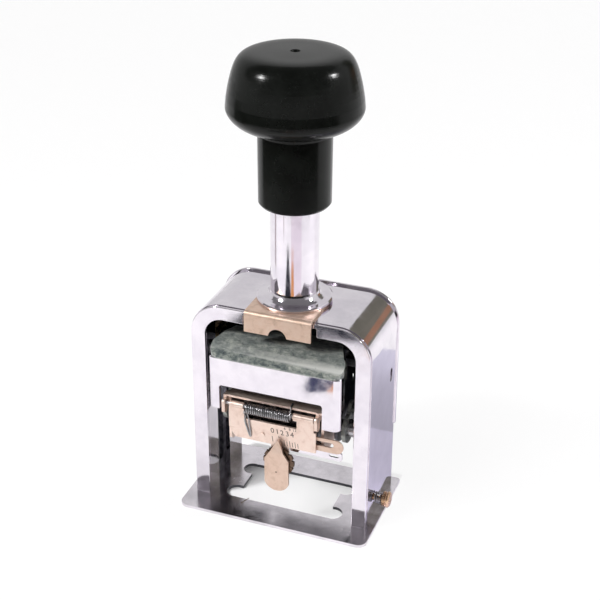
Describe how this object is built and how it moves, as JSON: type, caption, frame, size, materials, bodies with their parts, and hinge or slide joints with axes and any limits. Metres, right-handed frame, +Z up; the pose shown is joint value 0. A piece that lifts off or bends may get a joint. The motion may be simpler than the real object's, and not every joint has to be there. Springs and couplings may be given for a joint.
{
  "type": "numbering machine",
  "caption": "Hand-pressed numbering stamp: round knob on a plunger, arched metal frame on a windowed foot, and a turning head of number wheels with an ink pad behind.",
  "frame": {"origin": "on the underside of the base plate, under the plunger's axis, at the middle of the frame's depth", "axes": "+Z up along the plunger's axis, -Y towards the front with the dial plate, +X to the right with the lock button"},
  "size_m": [0.0768, 0.0487, 0.1718],
  "materials": {
    "chrome": "polished plating",
    "nickel": "warm satin nickel",
    "cast_grey": "tumbled dark casting",
    "steel": "bright steel",
    "spring_steel": "dark spring wire",
    "black": "moulded gloss",
    "bronze": "dark bronze",
    "copper": "copper-coloured turning",
    "wheel_steel": "inked dark steel",
    "brass": "machined",
    "felt": "inked felt",
    "rubber": "matt"
  },
  "bodies": {
    "root": {"base_plate": "chrome", "base_rivets": "steel", "frame_shell": "chrome", "front_plate": "chrome", "back_plate": "chrome", "back_plate_screws": "steel", "pad_guides": "steel", "guide_sleeve": "chrome", "sleeve_nut": "steel", "stop_bracket": "nickel", "cam_plate_left": "steel", "cam_plate_right": "steel", "main_spring": "spring_steel", "lock_spring": "spring_steel"},
    "plunger": {"knob": "black", "plunger_rod": "steel", "rod_pin": "steel", "bumper_ring": "rubber", "carriage_block": "cast_grey", "carriage_yoke": "chrome", "side_arm_left": "steel", "side_arm_right": "steel", "arm_screws": "steel", "guide_shoes": "brass"},
    "head": {"head_frame": "nickel", "wheel_shaft": "steel", "crank_left": "cast_grey", "crank_right": "cast_grey", "crank_screws": "steel", "hinge_rod": "steel", "detent_comb": "steel", "lower_rail": "chrome"},
    "dial": {"dial_plate": "nickel", "dial_spring": "spring_steel", "selector_stud": "steel"},
    "star": {"selector_star": "bronze"},
    "lever": {"selector_lever": "nickel"},
    "slide": {"slotted_slide": "nickel"},
    "wheel_1": {"number_wheel_1": "wheel_steel"},
    "wheel_2": {"number_wheel_2": "wheel_steel"},
    "wheel_3": {"number_wheel_3": "wheel_steel"},
    "wheel_4": {"number_wheel_4": "wheel_steel"},
    "wheel_5": {"number_wheel_5": "wheel_steel"},
    "wheel_6": {"number_wheel_6": "wheel_steel"},
    "feed": {"feed_arm": "steel"},
    "lock": {"lock_button": "copper"},
    "pad": {"pad_holder": "steel", "ink_pad": "felt"}
  },
  "joints": [
    {"name": "plunger_press", "type": "slide", "parent": "root", "child": "plunger", "axis": [0, 0, -1], "range_m": [0, 0.0267], "stiffness_N_per_m": 400, "springref_m": -0.015, "deforming": ["main_spring"]},
    {"name": "head_swing", "type": "hinge", "parent": "plunger", "child": "head", "pos_m": [0, -0.006, 0.037], "axis": [1, 0, 0], "range_deg": [-76.01, 0]},
    {"name": "feed_swing", "type": "hinge", "parent": "plunger", "child": "feed", "pos_m": [0, -0.006, 0.037], "axis": [1, 0, 0], "range_deg": [-30, 0]},
    {"name": "dial_open", "type": "hinge", "parent": "head", "child": "dial", "pos_m": [0, -0.0206, 0.0468], "axis": [1, 0, 0], "range_deg": [-4, 0], "stiffness_Nm_per_rad": 0.01, "springref_deg": 20.05},
    {"name": "selector_turn", "type": "hinge", "parent": "dial", "child": "lever", "pos_m": [0.0025, -0.0229, 0.0273], "axis": [0, 1, 0], "range_deg": [-20, 45]},
    {"name": "star_spin", "type": "hinge", "parent": "dial", "child": "star", "pos_m": [0.0025, -0.02165, 0.0273], "axis": [0, 1, 0], "continuous": true},
    {"name": "slide_latch", "type": "slide", "parent": "head", "child": "slide", "axis": [1, 0, 0], "range_m": [-0.003, 0]},
    {"name": "wheel_1_spin", "type": "hinge", "parent": "head", "child": "wheel_1", "pos_m": [0, -0.006, 0.037], "axis": [1, 0, 0], "continuous": true},
    {"name": "wheel_2_spin", "type": "hinge", "parent": "head", "child": "wheel_2", "pos_m": [0, -0.006, 0.037], "axis": [1, 0, 0], "continuous": true},
    {"name": "wheel_3_spin", "type": "hinge", "parent": "head", "child": "wheel_3", "pos_m": [0, -0.006, 0.037], "axis": [1, 0, 0], "continuous": true},
    {"name": "wheel_4_spin", "type": "hinge", "parent": "head", "child": "wheel_4", "pos_m": [0, -0.006, 0.037], "axis": [1, 0, 0], "continuous": true},
    {"name": "wheel_5_spin", "type": "hinge", "parent": "head", "child": "wheel_5", "pos_m": [0, -0.006, 0.037], "axis": [1, 0, 0], "continuous": true},
    {"name": "wheel_6_spin", "type": "hinge", "parent": "head", "child": "wheel_6", "pos_m": [0, -0.006, 0.037], "axis": [1, 0, 0], "continuous": true},
    {"name": "lock_press", "type": "slide", "parent": "root", "child": "lock", "axis": [-1, 0, 0], "range_m": [0, 0.0018], "stiffness_N_per_m": 100, "springref_m": -0.006, "deforming": ["lock_spring"]},
    {"name": "pad_pull", "type": "slide", "parent": "root", "child": "pad", "axis": [0, 1, 0], "range_m": [0, 0.012]}
  ],
  "couplings": [
    {"joint": "head_swing", "follows": "plunger_press", "rad_per_m": -49.67},
    {"joint": "feed_swing", "follows": "plunger_press", "rad_per_m": -19.61}
  ]
}
